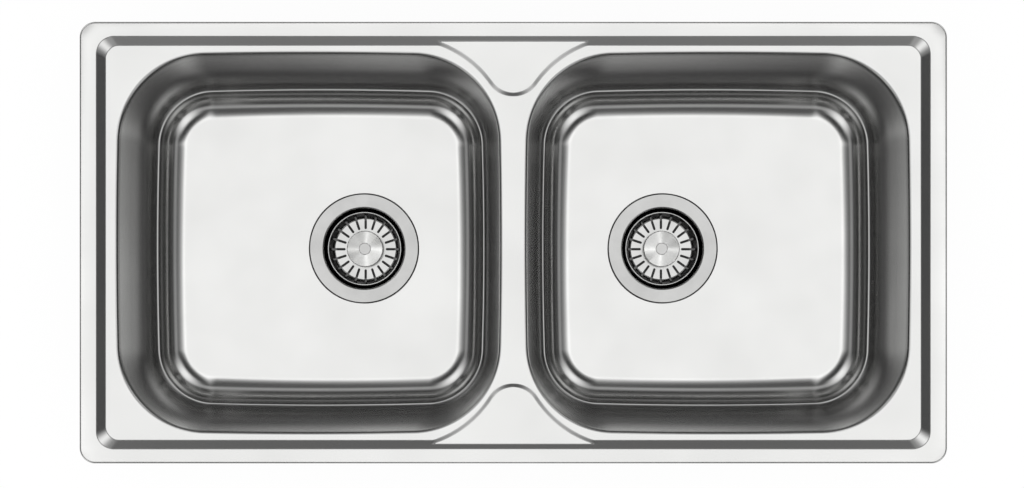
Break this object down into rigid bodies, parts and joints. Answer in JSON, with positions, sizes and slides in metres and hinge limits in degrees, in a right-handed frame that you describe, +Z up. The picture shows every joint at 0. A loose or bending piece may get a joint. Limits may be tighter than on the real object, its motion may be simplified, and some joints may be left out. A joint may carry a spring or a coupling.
{
  "type": "double bowl kitchen sink",
  "caption": "Inset stainless kitchen sink with equal square bowls side by side, a stepped rim, strainer basket wastes and screw clips under the rim.",
  "frame": {"origin": "middle of the sink in plan, on the plane of the worktop's top face", "axes": "+X to the right along the sink's length, +Y to the back, +Z up"},
  "size_m": [0.86, 0.438, 0.2348],
  "materials": {
    "pressed_stainless": "fine satin, polished at the bowl edges",
    "strainer_stainless": "satin",
    "turned_stainless": "turned, circular grain",
    "black_rubber": "matte moulded rubber",
    "sealing_foam": "closed-cell foam",
    "bitumen_pad": "pressed bitumen",
    "waste_plastic": "moulded polypropylene",
    "insert_brass": "turned",
    "galvanised_steel": "dull galvanised sheet",
    "zinc_plated_steel": "bright zinc plate"
  },
  "bodies": {
    "root": {"sink_top": "pressed_stainless", "rim_seal": "sealing_foam", "bowl_left": "pressed_stainless", "sound_pad_left": "bitumen_pad", "strainer_dish_left": "strainer_stainless", "dish_seal_left": "black_rubber", "body_seal_left": "black_rubber", "waste_body_left": "waste_plastic", "fixing_screw_left": "turned_stainless", "threaded_insert_left": "insert_brass", "rail_front_left": "galvanised_steel", "rail_back_left": "galvanised_steel", "bowl_right": "pressed_stainless", "sound_pad_right": "bitumen_pad", "strainer_dish_right": "strainer_stainless", "dish_seal_right": "black_rubber", "body_seal_right": "black_rubber", "waste_body_right": "waste_plastic", "fixing_screw_right": "turned_stainless", "threaded_insert_right": "insert_brass", "rail_front_right": "galvanised_steel", "rail_back_right": "galvanised_steel", "clip_nuts": "zinc_plated_steel"},
    "basket_left": {"basket_left": "strainer_stainless", "basket_seal_left": "black_rubber", "basket_stem_left": "turned_stainless", "basket_knob_left": "turned_stainless", "basket_rivet_left": "turned_stainless"},
    "basket_right": {"basket_right": "strainer_stainless", "basket_seal_right": "black_rubber", "basket_stem_right": "turned_stainless", "basket_knob_right": "turned_stainless", "basket_rivet_right": "turned_stainless"},
    "clip_front_1_carriage": {"clip_washer_front_1": "zinc_plated_steel"},
    "clip_front_1_screw": {"clip_screw_front_1": "zinc_plated_steel"},
    "clip_front_1_jaw": {"clip_jaw_front_1": "zinc_plated_steel"},
    "clip_front_2_carriage": {"clip_washer_front_2": "zinc_plated_steel"},
    "clip_front_2_screw": {"clip_screw_front_2": "zinc_plated_steel"},
    "clip_front_2_jaw": {"clip_jaw_front_2": "zinc_plated_steel"},
    "clip_front_3_carriage": {"clip_washer_front_3": "zinc_plated_steel"},
    "clip_front_3_screw": {"clip_screw_front_3": "zinc_plated_steel"},
    "clip_front_3_jaw": {"clip_jaw_front_3": "zinc_plated_steel"},
    "clip_front_4_carriage": {"clip_washer_front_4": "zinc_plated_steel"},
    "clip_front_4_screw": {"clip_screw_front_4": "zinc_plated_steel"},
    "clip_front_4_jaw": {"clip_jaw_front_4": "zinc_plated_steel"},
    "clip_back_1_carriage": {"clip_washer_back_1": "zinc_plated_steel"},
    "clip_back_1_screw": {"clip_screw_back_1": "zinc_plated_steel"},
    "clip_back_1_jaw": {"clip_jaw_back_1": "zinc_plated_steel"},
    "clip_back_2_carriage": {"clip_washer_back_2": "zinc_plated_steel"},
    "clip_back_2_screw": {"clip_screw_back_2": "zinc_plated_steel"},
    "clip_back_2_jaw": {"clip_jaw_back_2": "zinc_plated_steel"},
    "clip_back_3_carriage": {"clip_washer_back_3": "zinc_plated_steel"},
    "clip_back_3_screw": {"clip_screw_back_3": "zinc_plated_steel"},
    "clip_back_3_jaw": {"clip_jaw_back_3": "zinc_plated_steel"},
    "clip_back_4_carriage": {"clip_washer_back_4": "zinc_plated_steel"},
    "clip_back_4_screw": {"clip_screw_back_4": "zinc_plated_steel"},
    "clip_back_4_jaw": {"clip_jaw_back_4": "zinc_plated_steel"}
  },
  "joints": [
    {"name": "basket_left_lift", "type": "slide", "parent": "root", "child": "basket_left", "axis": [0, 0, 1], "range_m": [0, 0.2]},
    {"name": "basket_right_lift", "type": "slide", "parent": "root", "child": "basket_right", "axis": [0, 0, 1], "range_m": [0, 0.2]},
    {"name": "clip_front_1_tighten", "type": "slide", "parent": "root", "child": "clip_front_1_carriage", "axis": [0, 0, 1], "range_m": [0, 0.0125]},
    {"name": "clip_front_1_turn", "type": "hinge", "parent": "clip_front_1_carriage", "child": "clip_front_1_screw", "pos_m": [-0.2683, -0.2023, -0.0523], "axis": [0, 0, 1], "range_deg": [0, 4505]},
    {"name": "clip_front_1_swing", "type": "hinge", "parent": "clip_front_1_carriage", "child": "clip_front_1_jaw", "pos_m": [-0.2683, -0.2023, -0.0523], "axis": [0, 0, 1], "range_deg": [0, 90]},
    {"name": "clip_front_2_tighten", "type": "slide", "parent": "root", "child": "clip_front_2_carriage", "axis": [0, 0, 1], "range_m": [0, 0.0125]},
    {"name": "clip_front_2_turn", "type": "hinge", "parent": "clip_front_2_carriage", "child": "clip_front_2_screw", "pos_m": [-0.1383, -0.2023, -0.0523], "axis": [0, 0, 1], "range_deg": [0, 4505]},
    {"name": "clip_front_2_swing", "type": "hinge", "parent": "clip_front_2_carriage", "child": "clip_front_2_jaw", "pos_m": [-0.1383, -0.2023, -0.0523], "axis": [0, 0, 1], "range_deg": [0, 90]},
    {"name": "clip_front_3_tighten", "type": "slide", "parent": "root", "child": "clip_front_3_carriage", "axis": [0, 0, 1], "range_m": [0, 0.0125]},
    {"name": "clip_front_3_turn", "type": "hinge", "parent": "clip_front_3_carriage", "child": "clip_front_3_screw", "pos_m": [0.1383, -0.2023, -0.0523], "axis": [0, 0, 1], "range_deg": [0, 4505]},
    {"name": "clip_front_3_swing", "type": "hinge", "parent": "clip_front_3_carriage", "child": "clip_front_3_jaw", "pos_m": [0.1383, -0.2023, -0.0523], "axis": [0, 0, 1], "range_deg": [0, 90]},
    {"name": "clip_front_4_tighten", "type": "slide", "parent": "root", "child": "clip_front_4_carriage", "axis": [0, 0, 1], "range_m": [0, 0.0125]},
    {"name": "clip_front_4_turn", "type": "hinge", "parent": "clip_front_4_carriage", "child": "clip_front_4_screw", "pos_m": [0.2683, -0.2023, -0.0523], "axis": [0, 0, 1], "range_deg": [0, 4505]},
    {"name": "clip_front_4_swing", "type": "hinge", "parent": "clip_front_4_carriage", "child": "clip_front_4_jaw", "pos_m": [0.2683, -0.2023, -0.0523], "axis": [0, 0, 1], "range_deg": [0, 90]},
    {"name": "clip_back_1_tighten", "type": "slide", "parent": "root", "child": "clip_back_1_carriage", "axis": [0, 0, 1], "range_m": [0, 0.0125]},
    {"name": "clip_back_1_turn", "type": "hinge", "parent": "clip_back_1_carriage", "child": "clip_back_1_screw", "pos_m": [-0.2683, 0.2023, -0.0523], "axis": [0, 0, 1], "range_deg": [0, 4505]},
    {"name": "clip_back_1_swing", "type": "hinge", "parent": "clip_back_1_carriage", "child": "clip_back_1_jaw", "pos_m": [-0.2683, 0.2023, -0.0523], "axis": [0, 0, 1], "range_deg": [0, 90]},
    {"name": "clip_back_2_tighten", "type": "slide", "parent": "root", "child": "clip_back_2_carriage", "axis": [0, 0, 1], "range_m": [0, 0.0125]},
    {"name": "clip_back_2_turn", "type": "hinge", "parent": "clip_back_2_carriage", "child": "clip_back_2_screw", "pos_m": [-0.1383, 0.2023, -0.0523], "axis": [0, 0, 1], "range_deg": [0, 4505]},
    {"name": "clip_back_2_swing", "type": "hinge", "parent": "clip_back_2_carriage", "child": "clip_back_2_jaw", "pos_m": [-0.1383, 0.2023, -0.0523], "axis": [0, 0, 1], "range_deg": [0, 90]},
    {"name": "clip_back_3_tighten", "type": "slide", "parent": "root", "child": "clip_back_3_carriage", "axis": [0, 0, 1], "range_m": [0, 0.0125]},
    {"name": "clip_back_3_turn", "type": "hinge", "parent": "clip_back_3_carriage", "child": "clip_back_3_screw", "pos_m": [0.1383, 0.2023, -0.0523], "axis": [0, 0, 1], "range_deg": [0, 4505]},
    {"name": "clip_back_3_swing", "type": "hinge", "parent": "clip_back_3_carriage", "child": "clip_back_3_jaw", "pos_m": [0.1383, 0.2023, -0.0523], "axis": [0, 0, 1], "range_deg": [0, 90]},
    {"name": "clip_back_4_tighten", "type": "slide", "parent": "root", "child": "clip_back_4_carriage", "axis": [0, 0, 1], "range_m": [0, 0.0125]},
    {"name": "clip_back_4_turn", "type": "hinge", "parent": "clip_back_4_carriage", "child": "clip_back_4_screw", "pos_m": [0.2683, 0.2023, -0.0523], "axis": [0, 0, 1], "range_deg": [0, 4505]},
    {"name": "clip_back_4_swing", "type": "hinge", "parent": "clip_back_4_carriage", "child": "clip_back_4_jaw", "pos_m": [0.2683, 0.2023, -0.0523], "axis": [0, 0, 1], "range_deg": [0, 90]}
  ],
  "couplings": [
    {"joint": "clip_front_1_turn", "follows": "clip_front_1_tighten", "rad_per_m": 6283.2},
    {"joint": "clip_front_2_turn", "follows": "clip_front_2_tighten", "rad_per_m": 6283.2},
    {"joint": "clip_front_3_turn", "follows": "clip_front_3_tighten", "rad_per_m": 6283.2},
    {"joint": "clip_front_4_turn", "follows": "clip_front_4_tighten", "rad_per_m": 6283.2},
    {"joint": "clip_back_1_turn", "follows": "clip_back_1_tighten", "rad_per_m": 6283.2},
    {"joint": "clip_back_2_turn", "follows": "clip_back_2_tighten", "rad_per_m": 6283.2},
    {"joint": "clip_back_3_turn", "follows": "clip_back_3_tighten", "rad_per_m": 6283.2},
    {"joint": "clip_back_4_turn", "follows": "clip_back_4_tighten", "rad_per_m": 6283.2}
  ]
}
